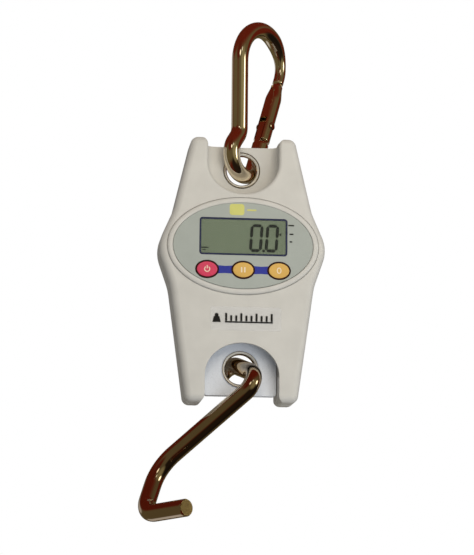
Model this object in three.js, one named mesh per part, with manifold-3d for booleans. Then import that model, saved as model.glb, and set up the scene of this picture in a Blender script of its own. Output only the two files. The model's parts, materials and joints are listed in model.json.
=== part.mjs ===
// A hanging scale: a flat plastic housing with a display, hung by its upper eyelet in a steel
// carabiner, with a bent steel load hook in its lower eyelet.
// Millimetres, +Z up, the display faces -Y. The origin is the inner apex of the carabiner's crown,
// the place where the scale hangs. Inside the `scale` group, positions are counted from the centre
// of the upper eyelet.

import * as THREE from 'three';
import { mergeVertices } from 'three/addons/utils/BufferGeometryUtils.js';
import Module from 'manifold-3d';

const wasm = await Module();
wasm.setup();

// ---------------------------------------------------------------- driving dimensions

const degrees = Math.PI / 180;

// Housing
const faceY = -15;
const backY = 16;
const wall = 2.4;
const seamGap = 0.6;
const edgeBevel = 4;
const eyeSpacing = 128.6;
const recessHalfWidth = 22.7;
const recessBowlZ = 3.1;
const recessBowlDepth = 20.3;
const recessLipZ = 15;
const archHalfWidth = 23.4;
const archBowlZ = -133.7;
const archBowlDepth = 20.4;
const skinFront = 2.4;
const skinBack = 1.8;
// Right half of the outline, top to bottom: x, z, corner radius.
const sideCorners = [
  [32.9, 19.2, 5],
  [44.2, -28.8, 25],
  [54.3, -51.9, 22],
  [45.7, -76.6, 30],
  [35.3, -150.5, 4.4],
];
const bossSpots = [[30, 3], [38.6, -82], [30.2, -139]];
const bossRadius = 3.8;

// Plates, eyelets and load cell
const upperPlateHalf = 1.5;
const lowerPlateHalf = 3.2;
const lowerPlateFoot = -145.5;
const eyeletBore = 9.4;
const eyeletBarrel = 10.9;
const eyeletThroat = 10.5;
const eyeletMouth = 11.4;
const eyeletFlange = 12.2;
const cellHalfWidth = 23;
const cellHalfDepth = 6;
const cellTop = -58;
const cellBottom = -108;
const boltX = 12;
const upperBoltZ = -65.5;
const lowerBoltZ = -101;

// Display and buttons
const bezel = { z: -51.6, a: 48, b: 31.1 };
const overlay = { z: -51.4, a: 44.4, b: 27.6 };
const lcd = { x: 0.1, z: -45.75, width: 56, height: 24.1 };
const buttonX = 22.8;
const buttonZ = -67.1;
const buttonA = 7.05;
const buttonB = 5.4;
const boardFront = -8.6;
const boardBack = -7;
const label = { x: 2, z: -98.1, width: 44.8, height: 15 };

// Batteries
const batteryRadius = 5.1;
const batteryY = 8.5;
const batteryPitch = 11.3;
const bayZ = -38.8;
const bayWidth = 56;
const bayHeight = 38;

// Carabiner: a rod bent in the XZ plane of its own group
const rodRadius = 5.3;
const noseRadius = 3.7;
const carabinerTurn = 48.5 * degrees;
const carabinerX = 1;
const eyeBendRadius = 12.6;
const eyeBendBottom = -2.5;
const neckBendRadius = 10;
const neckBend = 41;
const spineX = -4.1;
const haunchRadius = 26.5;
const haunchBend = 78;
const crownRadius = 20.8;
const crownTop = 98.6;
const armTilt = 23.3;
const shoulderReach = 18.2;
const rivetReach = 31.8;
const gateBelowRivet = 11.9;
const gateAboveRivet = 33;

// Load hook: a rod bent in the XZ plane of its own group, shank along -Z, tip towards +X
const hookRadius = 5.5;
const hookSwing = 35 * degrees;
const hookTwist = 32 * degrees;

// ---------------------------------------------------------------- materials

function finish(color, roughness, metalness = 0) {
  return new THREE.MeshStandardMaterial({ color, roughness, metalness });
}

const polishedSteel = finish(0x9a8f7c, 0.12, 1);
const brightSteel = finish(0xc9ccd4, 0.2, 1);
const plainSteel = finish(0x9fa2a6, 0.4, 1);
const bodyPlastic = finish(0xc8c2b4, 0.45);
const overlayFilm = finish(0xa3ad9e, 0.35);
const clearPlastic = finish(0xb9c2b4, 0.08);
const lcdGlass = finish(0x73806a, 0.2);
const boardGreen = finish(0x1f5a3a, 0.5);
const blackPlastic = finish(0x202124, 0.5);
const redPlastic = finish(0xc83c50, 0.35);
const yellowPlastic = finish(0xe1aa3c, 0.35);
const labelFilm = finish(0xd6d6d2, 0.15);
const sealRubber = finish(0x3a3a38, 0.8);
const alloy = finish(0xb4b7bb, 0.35, 1);
const cableJacket = finish(0x2b2b2d, 0.6);
const batteryJacket = finish(0x2f3f55, 0.35, 0.4);

// ---------------------------------------------------------------- solids

function toSolid(geometry) {
  const bare = geometry.clone();
  bare.deleteAttribute('normal');
  bare.deleteAttribute('uv');
  const merged = mergeVertices(bare, 1e-4);
  const vertProperties = new Float32Array(merged.attributes.position.array);
  const triVerts = new Uint32Array(merged.index.array);
  return new wasm.Manifold(new wasm.Mesh({ numProp: 3, vertProperties, triVerts }));
}

function toGeometry(solid) {
  const mesh = solid.getMesh();
  const geometry = new THREE.BufferGeometry();
  geometry.setAttribute('position', new THREE.BufferAttribute(mesh.vertProperties, 3));
  geometry.setIndex(new THREE.BufferAttribute(mesh.triVerts, 1));
  geometry.computeVertexNormals();
  return geometry;
}

function cut(base, ...tools) {
  return toGeometry(tools.reduce((solid, tool) => solid.subtract(toSolid(tool)), toSolid(base)));
}

function join(base, ...others) {
  return toGeometry(others.reduce((solid, other) => solid.add(toSolid(other)), toSolid(base)));
}

function common(base, other) {
  return toGeometry(toSolid(base).intersect(toSolid(other)));
}

// A box given by its lowest and highest corners.
function block([x0, y0, z0], [x1, y1, z1]) {
  const box = new THREE.BoxGeometry(x1 - x0, y1 - y0, z1 - z0);
  return box.translate((x0 + x1) / 2, (y0 + y1) / 2, (z0 + z1) / 2);
}

// A shape drawn in x and z, thickened along Y. A bevel rounds both faces, inside the outline.
function slab(shape, yLow, yHigh, { bevel = 0, curveSegments = 2 } = {}) {
  const geometry = new THREE.ExtrudeGeometry(shape, {
    depth: yHigh - yLow - 2 * bevel,
    curveSegments,
    bevelEnabled: bevel > 0,
    bevelThickness: bevel,
    bevelSize: bevel,
    bevelOffset: -bevel,
    bevelSegments: 2,
  });
  return geometry.rotateX(Math.PI / 2).translate(0, yHigh - bevel, 0);
}

// A disc or rod along Y.
function rodY(radius, x, z, yLow, yHigh, sides = 12) {
  const rod = new THREE.CylinderGeometry(radius, radius, yHigh - yLow, sides);
  return rod.translate(x, (yLow + yHigh) / 2, z);
}

// A rod along X.
function rodX(radius, y, z, xLow, xHigh, sides = 16) {
  const rod = new THREE.CylinderGeometry(radius, radius, xHigh - xLow, sides);
  return rod.rotateZ(-Math.PI / 2).translate((xLow + xHigh) / 2, y, z);
}

// A ring about the Y axis: a closed profile of [radius, y], counter-clockwise.
function ringY(profile, x, z, sides = 24) {
  const points = [...profile, profile[0]].map(([radius, y]) => new THREE.Vector2(radius, y));
  return new THREE.LatheGeometry(points, sides).translate(x, 0, z);
}

// A round bar along a curve.
function bar(curve, radius, steps, sides = 10) {
  const section = new THREE.Shape().absarc(0, 0, radius, 0, 2 * Math.PI, false);
  return new THREE.ExtrudeGeometry(section, { steps, extrudePath: curve, curveSegments: sides / 2 });
}

// ---------------------------------------------------------------- outlines

// Closed outline through corners [x, z, radius]; a radius rounds the corner with an arc.
function roundedShape(corners) {
  const shape = new THREE.Shape();
  corners.forEach(([x, z, radius = 0], i) => {
    const here = new THREE.Vector2(x, z);
    const [previousX, previousZ] = corners.at(i - 1);
    const [nextX, nextZ] = corners[(i + 1) % corners.length];
    const toPrevious = new THREE.Vector2(previousX, previousZ).sub(here).normalize();
    const toNext = new THREE.Vector2(nextX, nextZ).sub(here).normalize();
    const halfAngle = Math.acos(toPrevious.dot(toNext)) / 2;
    const inward = toPrevious.clone().add(toNext).normalize();
    const centre = here.clone().addScaledVector(inward, radius / Math.sin(halfAngle));
    const reach = radius / Math.tan(halfAngle);
    const arcStart = here.clone().addScaledVector(toPrevious, reach).sub(centre);
    const arcEnd = here.clone().addScaledVector(toNext, reach).sub(centre);
    if (radius > 0) {
      const clockwise = toPrevious.cross(toNext) > 0;
      shape.absarc(centre.x, centre.y, radius, arcStart.angle(), arcEnd.angle(), clockwise);
    } else if (i === 0) {
      shape.moveTo(x, z);
    } else {
      shape.lineTo(x, z);
    }
  });
  shape.closePath();
  return shape;
}

// The housing's outline as corners, drawn clockwise from the right horn and shrunk by an inset.
function housingCorners(inset = 0) {
  const left = sideCorners.map(([x, z, radius]) => [-x, z, radius]).reverse();
  const corners = [...sideCorners, ...left];
  return corners.map(([x, z, radius], i) => {
    const [previousX, previousZ] = corners.at(i - 1);
    const [nextX, nextZ] = corners[(i + 1) % corners.length];
    const arriving = new THREE.Vector2(x - previousX, z - previousZ).normalize();
    const leaving = new THREE.Vector2(nextX - x, nextZ - z).normalize();
    const turn = arriving.cross(leaving);
    const inward = new THREE.Vector2(arriving.y + leaving.y, -arriving.x - leaving.x).normalize();
    const cosHalf = Math.sqrt((1 + arriving.dot(leaving)) / 2);
    const roundness = turn < 0 ? radius - inset : radius + inset;
    return [x + inward.x * inset / cosHalf, z + inward.y * inset / cosHalf, Math.max(roundness, 0.3)];
  });
}

function rectangle(x, z, width, height, radius = 0) {
  const [w, h] = [width / 2, height / 2];
  return roundedShape([[x + w, z + h, radius], [x + w, z - h, radius],
    [x - w, z - h, radius], [x - w, z + h, radius]]);
}

function ellipse(x, z, a, b) {
  const shape = new THREE.Shape();
  shape.absellipse(x, z, a, b, 0, 2 * Math.PI, false);
  return shape;
}

// A slot with an elliptical end: open upwards when openZ is above bowlZ, else downwards.
function bowl(halfWidth, bowlZ, depth, openZ) {
  const shape = new THREE.Shape();
  const openUp = openZ > bowlZ;
  shape.moveTo(-halfWidth, openZ);
  shape.lineTo(-halfWidth, bowlZ);
  shape.absellipse(0, bowlZ, halfWidth, depth, Math.PI, openUp ? 2 * Math.PI : 0, !openUp);
  shape.lineTo(halfWidth, openZ);
  shape.closePath();
  return shape;
}

function recessShape(grow = 0) {
  return bowl(recessHalfWidth + grow, recessBowlZ, recessBowlDepth + grow, 40);
}

function archShape(grow = 0) {
  return bowl(archHalfWidth + grow, archBowlZ, archBowlDepth + grow, -170);
}

// ---------------------------------------------------------------- a rod bent in the XZ plane

// Starts at a point with a heading in degrees from +X towards +Z, then follows its moves:
// { straight } or { radius, turn }, where a positive turn in degrees is from +X towards +Z.
class BentRod extends THREE.Curve {
  constructor(start, heading, moves) {
    super();
    let state = { x: start[0], z: start[1], angle: heading * degrees };
    this.pieces = moves.map(({ straight = 0, radius = 0, turn = 0 }) => {
      const length = turn === 0 ? straight : radius * Math.abs(turn) * degrees;
      const piece = { ...state, radius, side: Math.sign(turn), length };
      state = this.along(piece, length);
      return piece;
    });
    this.end = state;
    this.total = this.pieces.reduce((sum, piece) => sum + piece.length, 0);
  }

  along({ x, z, angle, radius, side }, distance) {
    if (side === 0) {
      return { x: x + distance * Math.cos(angle), z: z + distance * Math.sin(angle), angle };
    }
    const after = angle + side * distance / radius;
    return {
      x: x + side * radius * (Math.sin(after) - Math.sin(angle)),
      z: z - side * radius * (Math.cos(after) - Math.cos(angle)),
      angle: after,
    };
  }

  getPoint(t, target = new THREE.Vector3()) {
    let distance = t * this.total;
    let at = 0;
    while (at < this.pieces.length - 1 && distance > this.pieces[at].length) {
      distance -= this.pieces[at].length;
      at += 1;
    }
    const { x, z } = this.along(this.pieces[at], distance);
    return target.set(x, 0, z);
  }
}

// ---------------------------------------------------------------- groups

const scale = new THREE.Group();
const carabiner = new THREE.Group();
const hook = new THREE.Group();

function add(group, name, geometry, material) {
  const mesh = new THREE.Mesh(geometry, material);
  mesh.name = name;
  group.add(mesh);
}

// ---------------------------------------------------------------- carabiner

const tilt = armTilt * degrees;
const eyeBendZ = eyeBendBottom + eyeBendRadius;
const haunch = haunchBend * degrees;
const crownZ = crownTop - crownRadius;
const spineTop = crownZ - (haunchRadius - crownRadius) * Math.sin(haunch);
const crownX = spineX + haunchRadius - (haunchRadius - crownRadius) * Math.cos(haunch);
const eyeFlat = crownX - Math.tan(tilt) * (crownZ - eyeBendZ)
  + (crownRadius - eyeBendRadius) / Math.cos(tilt);
const neck = neckBend * degrees;
const neckRadii = eyeBendRadius + neckBendRadius;
const neckStraight = (spineX + eyeBendRadius - neckRadii * (1 - Math.cos(neck))) / Math.sin(neck);
const spineBottom = eyeBendZ + neckRadii * Math.sin(neck) + neckStraight * Math.cos(neck);
const armFoot = [eyeFlat + eyeBendRadius * Math.cos(tilt), eyeBendZ - eyeBendRadius * Math.sin(tilt)];

function armPoint(reach) {
  return [armFoot[0] + reach * Math.sin(tilt), armFoot[1] + reach * Math.cos(tilt)];
}

const rivet = armPoint(rivetReach);

// Moves a piece built about the rivet, with the arm along Z, to its place on the tilted arm.
function onArm(geometry) {
  return geometry.rotateY(tilt).translate(rivet[0], 0, rivet[1]);
}

// A solid of revolution about Z from a profile of [radius, z], starting and ending on the axis.
function turnedZ(profile, sides = 16) {
  const points = profile.map(([radius, z]) => new THREE.Vector2(radius, z));
  return new THREE.LatheGeometry(points, sides).rotateX(Math.PI / 2);
}

function carabinerBody() {
  const curve = new BentRod(armPoint(shoulderReach), 270 - armTilt, [
    { straight: shoulderReach },
    { radius: eyeBendRadius, turn: armTilt - 90 },
    { straight: eyeFlat },
    { radius: eyeBendRadius, turn: -90 - neckBend },
    { straight: neckStraight },
    { radius: neckBendRadius, turn: neckBend },
    { straight: spineTop - spineBottom },
    { radius: haunchRadius, turn: -haunchBend },
    { radius: crownRadius, turn: haunchBend - 180 - armTilt },
  ]);
  const tangRadius = 4.5;
  const tang = join(
    block([-tangRadius, -2.2, shoulderReach - rivetReach - 3], [tangRadius, 2.2, 0]),
    rodY(tangRadius, 0, 0, -2.2, 2.2),
  );
  const nose = turnedZ([[0, 33.6], [noseRadius, 33.6], [noseRadius + 0.2, 41], [0, 41]]);
  const tongue = block([-2.5, -1.5, 29], [2.5, 1.5, 36]);
  return cut(
    join(bar(curve, rodRadius, 56), onArm(tang), onArm(nose), onArm(tongue)),
    onArm(rodY(2, 0, 0, -8, 8, 16)),
  );
}

function carabinerGate() {
  const sleeve = turnedZ([
    [0, -gateBelowRivet], [rodRadius, -gateBelowRivet], [rodRadius, 26], [3.9, gateAboveRivet],
    [0, gateAboveRivet],
  ]);
  const fork = block([-8, -2.6, -20], [8, 2.6, 5.4]);
  const springBore = turnedZ([[0, 5], [2.6, 5], [2.6, 17], [0, 17]]);
  const noseSlot = block([-8, -1.9, 28.4], [8, 1.9, 40]);
  return onArm(cut(sleeve, fork, springBore, noseSlot, rodY(2, 0, 0, -8, 8, 16)));
}

function gateRivet() {
  const profile = [
    [0, -6], [2.6, -5.9], [2.6, -5.3], [1.7, -5.3], [1.7, 5.3], [2.6, 5.3], [2.6, 5.9], [0, 6],
  ];
  const points = profile.map(([radius, y]) => new THREE.Vector2(radius, y));
  return onArm(new THREE.LatheGeometry(points, 16));
}

// A coil spring about Z.
class Helix extends THREE.Curve {
  constructor(radiusLow, radiusHigh, zLow, zHigh, turns) {
    super();
    Object.assign(this, { radiusLow, radiusHigh, zLow, zHigh, turns });
  }

  getPoint(t, target = new THREE.Vector3()) {
    const radius = this.radiusLow + (this.radiusHigh - this.radiusLow) * t;
    const angle = 2 * Math.PI * this.turns * t;
    const z = this.zLow + (this.zHigh - this.zLow) * t;
    return target.set(radius * Math.cos(angle), radius * Math.sin(angle), z);
  }
}

add(carabiner, 'carabiner_body', carabinerBody(), polishedSteel);
add(carabiner, 'carabiner_gate', carabinerGate(), polishedSteel);
add(carabiner, 'gate_rivet', gateRivet(), brightSteel);
add(carabiner, 'gate_spring', onArm(bar(new Helix(1.9, 1.9, 5.6, 16.2, 4), 0.35, 32, 5)), plainSteel);

// ---------------------------------------------------------------- housing shells

const bosses = bossSpots.flatMap(([x, z]) => [[x, z], [-x, z]]);

function shellBlank() {
  const cavity = cut(
    slab(roundedShape(housingCorners(wall)), faceY + wall, backY - wall),
    slab(recessShape(wall), -40, 40, { curveSegments: 6 }),
    slab(archShape(wall), -40, 40, { curveSegments: 6 }),
  );
  const outside = slab(roundedShape(housingCorners()), faceY, backY, {
    bevel: edgeBevel,
    curveSegments: 3,
  });
  return cut(
    cut(outside, cavity),
    slab(recessShape(), -40, -skinFront, { curveSegments: 6 }),
    slab(recessShape(), skinFront, 40, { curveSegments: 6 }),
    block([-recessHalfWidth, -40, recessLipZ], [recessHalfWidth, 40, 40]),
    slab(archShape(), -40, 40, { curveSegments: 6 }),
    block([-21.4, -skinBack, -40], [21.4, skinBack, recessLipZ - 0.9]),
    block([-archHalfWidth, -lowerPlateHalf - 0.3, -160], [archHalfWidth, lowerPlateHalf + 0.3, -100]),
    rodY(eyeletBarrel + 0.4, 0, 0, -5, 5, 24),
  );
}

const blank = shellBlank();

function frontShell() {
  const half = common(blank, block([-80, -40, -200], [80, -seamGap, 60]));
  const posts = bosses.map(([x, z]) => rodY(bossRadius, x, z, faceY + 1, -seamGap));
  const bores = bosses.map(([x, z]) => rodY(1.6, x, z, -10, 0, 8));
  const buttonHoles = [-1, 0, 1].map((side) => (
    slab(ellipse(side * buttonX, buttonZ, buttonA + 0.5, buttonB + 0.5), -20, -10, { curveSegments: 6 })
  ));
  const window = slab(rectangle(lcd.x, lcd.z, lcd.width, lcd.height, 2), -20, -10);
  const archGap = common(
    slab(archShape(wall + 0.2), faceY + wall, -lowerPlateHalf - 0.3, { curveSegments: 6 }),
    block([-40, -40, archBowlZ], [40, 0, archBowlZ + 40]),
  );
  return cut(join(half, ...posts), ...bores, ...buttonHoles, window, archGap);
}

function rearShell() {
  const half = common(blank, block([-80, seamGap, -200], [80, 40, 60]));
  const posts = bosses.map(([x, z]) => rodY(bossRadius, x, z, seamGap, backY - wall));
  const bores = bosses.map(([x, z]) => rodY(1.7, x, z, 0, 20, 8));
  const sinks = bosses.map(([x, z]) => rodY(3.4, x, z, backY - wall, 20, 14));
  const bay = slab(rectangle(0, bayZ, bayWidth + 0.6, bayHeight + 0.6, 2.3), 10, 20);
  return cut(join(half, ...posts), ...bores, ...sinks, bay);
}

function sideSeal(side) {
  const ring = cut(
    slab(roundedShape(housingCorners(0.6)), -0.3, 0.3),
    slab(roundedShape(housingCorners(1.9)), -1, 1),
  );
  const [near, far] = side < 0 ? [-80, -27] : [27, 80];
  return common(ring, block([near, -1, -149.3], [far, 1, 18.8]));
}

function caseScrew(x, z) {
  const head = rodY(2.9, x, z, 13.9, 15.5, 12);
  const drive = [block([x - 1.8, 14.8, z - 0.4], [x + 1.8, 16, z + 0.4]),
    block([x - 0.4, 14.8, z - 1.8], [x + 0.4, 16, z + 1.8])];
  return cut(join(head, rodY(1.3, x, z, -8, 14.2, 8)), ...drive);
}

add(scale, 'front_shell', frontShell(), bodyPlastic);
add(scale, 'rear_shell', rearShell(), bodyPlastic);
add(scale, 'seal_left', sideSeal(-1), sealRubber);
add(scale, 'seal_right', sideSeal(1), sealRubber);
bosses.forEach(([x, z], i) => add(scale, `case_screw_${i + 1}`, caseScrew(x, z), plainSteel));

// ---------------------------------------------------------------- display, buttons, label

const smooth = { curveSegments: 6 };
const smoothest = { curveSegments: 14 };

function buttonCap(x) {
  const outline = ellipse(x, buttonZ, buttonA, buttonB);
  const cap = slab(outline, faceY - 1.4, -12, { bevel: 0.5, curveSegments: 6 });
  const flange = slab(ellipse(x, buttonZ, buttonA + 1.2, buttonB + 1.2), -12.3, -11.5, smooth);
  return join(cap, flange, rodY(2, x, buttonZ, -12, -11.1, 12));
}

function tactSwitch(x) {
  const body = block([x - 3, -10.3, buttonZ - 3], [x + 3, boardFront - 0.3, buttonZ + 3]);
  return join(body, rodY(1.6, x, buttonZ, -10.6, -10, 12));
}

function bezelRing() {
  const outer = slab(ellipse(0, bezel.z, bezel.a, bezel.b), faceY - 1.3, faceY - 0.3, smoothest);
  const inner = ellipse(0, overlay.z, overlay.a + 0.3, overlay.b + 0.3);
  return cut(outer, slab(inner, -20, -10, smoothest));
}

function frontOverlay() {
  const outline = ellipse(0, overlay.z, overlay.a, overlay.b);
  const film = slab(outline, faceY - 0.9, faceY - 0.3, smoothest);
  const window = slab(rectangle(lcd.x, lcd.z, lcd.width, lcd.height, 2), -20, -10);
  const holes = [-1, 0, 1].map((side) => (
    slab(ellipse(side * buttonX, buttonZ, buttonA + 0.35, buttonB + 0.35), -20, -10, smooth)
  ));
  return cut(film, window, ...holes);
}

function lcdWindow() {
  const outline = rectangle(lcd.x, lcd.z, lcd.width - 0.6, lcd.height - 0.6, 1.8);
  return slab(outline, faceY - 0.9, faceY + 1.1);
}

function lcdPanel() {
  return slab(rectangle(lcd.x, lcd.z, lcd.width - 3, lcd.height - 2, 0.5), -13.6, boardFront - 0.3);
}

function capacityLabel() {
  return slab(rectangle(label.x, label.z, label.width, label.height, 1), faceY - 0.6, faceY - 0.3);
}

const switchSpots = [
  ['power', -buttonX, redPlastic],
  ['hold', 0, yellowPlastic],
  ['zero', buttonX, yellowPlastic],
];

add(scale, 'display_bezel', bezelRing(), bodyPlastic);
add(scale, 'front_overlay', frontOverlay(), overlayFilm);
add(scale, 'lcd_window', lcdWindow(), clearPlastic);
add(scale, 'lcd_panel', lcdPanel(), lcdGlass);
add(scale, 'circuit_board', slab(rectangle(0, -51, 66, 56, 2), boardFront, boardBack), boardGreen);
for (const [name, x, plastic] of switchSpots) {
  add(scale, `${name}_button`, buttonCap(x), plastic);
  add(scale, `${name}_switch`, tactSwitch(x), blackPlastic);
}
add(scale, 'capacity_label', capacityLabel(), labelFilm);

// ---------------------------------------------------------------- load path

function upperPlate() {
  const shape = roundedShape([[21, recessLipZ - 1.2, 6], [20, cellTop - 14.6, 2],
    [-20, cellTop - 14.6, 2], [-21, recessLipZ - 1.2, 6]]);
  const holes = [-boltX, boltX].map((x) => rodY(2.6, x, upperBoltZ, -9, 9, 16));
  const eye = rodY(eyeletBarrel + 0.4, 0, 0, -9, 9, 24);
  return cut(slab(shape, -upperPlateHalf, upperPlateHalf), eye, ...holes);
}

function lowerPlate() {
  const halfWidth = archHalfWidth - 0.4;
  const shape = roundedShape([
    [20, -94, 2], [20, -108.6, 2], [halfWidth, -112, 1], [halfWidth, lowerPlateFoot, 2],
    [-halfWidth, lowerPlateFoot, 2], [-halfWidth, -112, 1], [-20, -108.6, 2], [-20, -94, 2],
  ]);
  const holes = [-boltX, boltX].map((x) => rodY(2.6, x, lowerBoltZ, -9, 9, 16));
  const eye = rodY(eyeletBarrel + 0.4, 0, -eyeSpacing, -9, 9, 24);
  return cut(slab(shape, -lowerPlateHalf, lowerPlateHalf), eye, ...holes);
}

// A flared bush that lines an eye; `half` is half the thickness it clasps.
function eyelet(half, z) {
  const lip = half + 0.3;
  const rim = lip + 0.4;
  const profile = [
    [eyeletBarrel, -lip], [eyeletBarrel, lip], [eyeletFlange, lip], [eyeletFlange - 0.3, rim],
    [eyeletMouth, rim], [eyeletThroat, half + 0.2], [eyeletBore, half - 1.7],
    [eyeletBore, 1.7 - half], [eyeletThroat, -half - 0.2], [eyeletMouth, -rim],
    [eyeletFlange - 0.3, -rim], [eyeletFlange, -lip],
  ];
  return ringY(profile, 0, z);
}

function loadCell() {
  const body = block([-cellHalfWidth, -cellHalfDepth, cellBottom], [cellHalfWidth, cellHalfDepth, cellTop]);
  const middle = (cellTop + cellBottom) / 2;
  return cut(
    body,
    block([-40, -upperPlateHalf - 0.3, cellTop - 15], [40, upperPlateHalf + 0.3, 0]),
    block([-40, -lowerPlateHalf - 0.3, -140], [40, lowerPlateHalf + 0.3, cellBottom + 15]),
    block([-40, -9, middle + 5], [15, 9, middle + 6.5]),
    block([-15, -9, middle - 6.5], [40, 9, middle - 5]),
    rodY(3.6, 0, middle, -9, 9, 20),
    ...[-boltX, boltX].map((x) => rodY(2.6, x, upperBoltZ, -9, 9, 16)),
    ...[-boltX, boltX].map((x) => rodY(2.6, x, lowerBoltZ, -9, 9, 16)),
  );
}

function plateBolt(x, z) {
  const head = rodY(4, x, z, cellHalfDepth + 0.3, cellHalfDepth + 3.3, 20);
  const socket = rodY(2, x, z, cellHalfDepth + 1.6, 20, 6);
  return cut(join(head, rodY(2.25, x, z, -5.8, cellHalfDepth + 1, 14)), socket);
}

function cellCable() {
  const route = [
    [9.6, 7.1, -83], [18, 7.6, -84], [26.5, 6, -82], [28.5, 0.5, -77], [28, -4, -72.5], [28, -6.6, -72],
  ];
  const curve = new THREE.CatmullRomCurve3(route.map((point) => new THREE.Vector3(...point)));
  return bar(curve, 1.1, 14, 8);
}

add(scale, 'upper_plate', upperPlate(), plainSteel);
add(scale, 'lower_plate', lowerPlate(), brightSteel);
add(scale, 'upper_eyelet', eyelet(skinFront, 0), brightSteel);
add(scale, 'lower_eyelet', eyelet(lowerPlateHalf, -eyeSpacing), brightSteel);
add(scale, 'load_cell', loadCell(), alloy);
add(scale, 'gauge_cover', slab(rectangle(0, -83, 18, 15, 2), 6.3, 8), blackPlastic);
for (const [side, x] of [['left', -boltX], ['right', boltX]]) {
  add(scale, `upper_bolt_${side}`, plateBolt(x, upperBoltZ), plainSteel);
  add(scale, `lower_bolt_${side}`, plateBolt(x, lowerBoltZ), plainSteel);
}
add(scale, 'cell_cable', cellCable(), cableJacket);

// ---------------------------------------------------------------- batteries

function batteryHolder() {
  const [w, h] = [bayWidth / 2 - 0.2, bayHeight / 2 - 0.3];
  const tray = block([-w, 1.9, bayZ - h], [w, 13.3, bayZ + h]);
  return cut(tray, block([1.2 - w, 3.1, bayZ - h + 1.2], [w - 1.2, 20, bayZ + h - 1.2]));
}

function battery(z) {
  return join(rodX(batteryRadius, batteryY, z, -19.2, 24.4), rodX(1.9, batteryY, z, 24, 25.2, 12));
}

function batteryDoor() {
  const notch = rodY(7, 0, bayZ + bayHeight / 2 + 3.5, 10, 20, 24);
  return cut(slab(rectangle(0, bayZ, bayWidth, bayHeight, 2), 14.1, backY), notch);
}

add(scale, 'battery_holder', batteryHolder(), blackPlastic);
add(scale, 'battery_door', batteryDoor(), bodyPlastic);
[1, 0, -1].forEach((row, i) => {
  const z = bayZ + row * batteryPitch;
  const coil = bar(new Helix(3.4, 2, 0, 5.6, 2.5), 0.3, 20, 5);
  const spring = coil.rotateY(Math.PI / 2).translate(-25.8, batteryY, z);
  add(scale, `battery_${i + 1}`, battery(z), batteryJacket);
  add(scale, `battery_spring_${i + 1}`, spring, plainSteel);
  add(scale, `battery_contact_${i + 1}`, block([25.6, 4.2, z - 4], [26.1, 12.4, z + 4]), brightSteel);
});

// ---------------------------------------------------------------- load hook

// In the hook's plane: the free end lies behind the eye, the rod comes forward through it, bends
// over into the shank and ends in an open bowl whose tip points back up.
function loadHook() {
  const curve = new BentRod([-14, -14], 90, [
    { straight: 6.5 },
    { radius: 9, turn: -90 },
    { straight: 16 },
    { radius: 10, turn: -114.5 },
    { straight: 60 },
    { radius: 26, turn: 54 },
    { straight: 11.5 },
    { radius: 11.5, turn: 86 },
    { straight: 28 },
  ]);
  return bar(curve, hookRadius, 52);
}

add(hook, 'load_hook', loadHook(), polishedSteel);

// ---------------------------------------------------------------- assembly

carabiner.position.x = carabinerX;
carabiner.rotation.z = carabinerTurn;
hook.position.z = -eyeSpacing;
hook.rotation.set(0, hookSwing, hookTwist - Math.PI / 2, 'YXZ');
scale.add(carabiner, hook);
scale.position.set(
  -carabinerX - crownX * Math.cos(carabinerTurn),
  -crownX * Math.sin(carabinerTurn),
  rodRadius - crownTop,
);

const hangingScale = new THREE.Group();
hangingScale.add(scale);

export default hangingScale;
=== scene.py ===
"""Looks of the hanging scale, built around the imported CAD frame.

Lengths are in millimetres, counted from the centre of the upper eyelet as the CAD counts them, and
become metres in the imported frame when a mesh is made. The display faces -Y.
"""

import json
import math

import bpy
from mathutils import Matrix, Vector


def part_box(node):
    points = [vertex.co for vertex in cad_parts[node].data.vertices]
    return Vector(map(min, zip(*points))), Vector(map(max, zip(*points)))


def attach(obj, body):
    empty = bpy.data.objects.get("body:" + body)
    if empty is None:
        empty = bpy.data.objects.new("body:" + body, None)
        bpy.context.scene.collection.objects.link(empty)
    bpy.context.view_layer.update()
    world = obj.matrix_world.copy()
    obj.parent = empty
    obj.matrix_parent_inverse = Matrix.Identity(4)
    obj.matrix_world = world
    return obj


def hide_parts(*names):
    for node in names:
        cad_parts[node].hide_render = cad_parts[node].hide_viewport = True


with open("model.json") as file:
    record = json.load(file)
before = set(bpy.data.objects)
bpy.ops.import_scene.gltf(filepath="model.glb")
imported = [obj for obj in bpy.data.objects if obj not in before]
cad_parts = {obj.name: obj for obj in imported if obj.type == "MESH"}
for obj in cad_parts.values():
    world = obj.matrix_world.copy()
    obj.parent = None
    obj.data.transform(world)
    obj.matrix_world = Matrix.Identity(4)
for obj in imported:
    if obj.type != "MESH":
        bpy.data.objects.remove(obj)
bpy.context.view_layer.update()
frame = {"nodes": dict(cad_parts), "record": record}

MM = 0.001
JOINTS = {joint["name"]: joint for joint in frame["record"]["behaviour"]["joints"]}
EYE = Vector(JOINTS["housing_swing"]["pos_m"])
LOWER_EYE = (Vector(JOINTS["hook_swing"]["pos_m"]) - EYE) / MM


def node_box(node):
    """A CAD node's lowest and highest corner, in millimetres from the upper eyelet."""
    low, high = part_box(node)
    return (Vector(low) - EYE) / MM, (Vector(high) - EYE) / MM


# ---------------------------------------------------------------- driving sizes

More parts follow.
